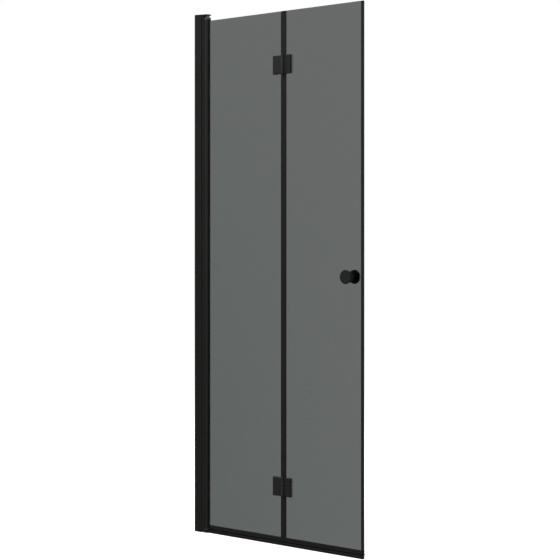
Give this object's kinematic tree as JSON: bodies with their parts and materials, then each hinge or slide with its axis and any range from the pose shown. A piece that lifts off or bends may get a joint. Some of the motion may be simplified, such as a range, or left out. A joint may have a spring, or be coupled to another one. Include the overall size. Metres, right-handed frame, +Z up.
{
  "type": "shower door",
  "caption": "Frameless folding shower door of two smoked glass leaves with black wall profile, fold hinges, seals, threshold and round double knob.",
  "frame": {"origin": "on the wall face of the wall profile, level with the tray under the threshold, in the middle of the glass thickness", "axes": "+X from the wall along the closed door to the closing edge, +Y into the shower, +Z up"},
  "size_m": [0.783, 0.0572, 1.9],
  "materials": {
    "black_coated_metal": "matt black powder coat",
    "black_plastic": "moulded, fine satin",
    "nylon": "plain nylon",
    "black_rubber": "soft, slightly glossy",
    "magnet_rubber": "matt flexible magnet",
    "steel": "turned, bright",
    "black_steel": "black oxide",
    "smoked_glass": "clear polished, tinted grey"
  },
  "bodies": {
    "root": {"wall_profile": "black_coated_metal", "adjusting_profile": "black_coated_metal", "adjusting_screws": "steel", "screw_caps": "black_plastic", "top_cap": "black_plastic", "upper_bracket": "black_steel", "upper_pivot_pin": "black_steel", "block_screws": "steel", "pivot_shoe": "black_plastic", "fixed_cam": "nylon", "threshold": "black_coated_metal", "threshold_end_caps": "black_plastic"},
    "lift": {"lower_pivot_pin": "steel"},
    "inner_leaf": {"pivot_profile": "black_coated_metal", "top_bush": "nylon", "moving_cam": "nylon", "glazing_gasket": "black_rubber", "inner_glass": "smoked_glass", "inner_seam_seal": "black_rubber", "inner_drip_seal": "black_rubber", "upper_hinge_inner_plate": "black_coated_metal", "lower_hinge_inner_plate": "black_coated_metal", "upper_hinge_inner_clamp": "black_coated_metal", "lower_hinge_inner_clamp": "black_coated_metal", "inner_hinge_pads": "black_rubber", "inner_clamp_screws": "black_steel", "upper_fold_pin": "steel", "lower_fold_pin": "steel", "fold_washers": "nylon"},
    "outer_leaf": {"outer_glass": "smoked_glass", "outer_seam_seal": "black_rubber", "outer_drip_seal": "black_rubber", "closing_strip": "black_plastic", "closing_magnet": "magnet_rubber", "upper_hinge_outer_plate": "black_coated_metal", "lower_hinge_outer_plate": "black_coated_metal", "upper_hinge_outer_clamp": "black_coated_metal", "lower_hinge_outer_clamp": "black_coated_metal", "outer_hinge_pads": "black_rubber", "outer_clamp_screws": "black_steel", "front_knob": "black_coated_metal", "back_knob": "black_coated_metal", "knob_stud": "steel", "knob_washers": "black_rubber", "knob_grub_screw": "black_steel"}
  },
  "joints": [
    {"name": "door_lift", "type": "slide", "parent": "root", "child": "lift", "axis": [0, 0, 1], "range_m": [0, 0.00501]},
    {"name": "door_swing", "type": "hinge", "parent": "lift", "child": "inner_leaf", "pos_m": [0.052, 0, 0], "axis": [0, 0, 1], "range_deg": [0, 90]},
    {"name": "leaf_fold", "type": "hinge", "parent": "inner_leaf", "child": "outer_leaf", "pos_m": [0.43, -0.0115, 0], "axis": [0, 0, 1], "range_deg": [-175, 0]}
  ],
  "couplings": [
    {"joint": "door_lift", "follows": "door_swing", "m_per_rad": 0.0031831}
  ]
}
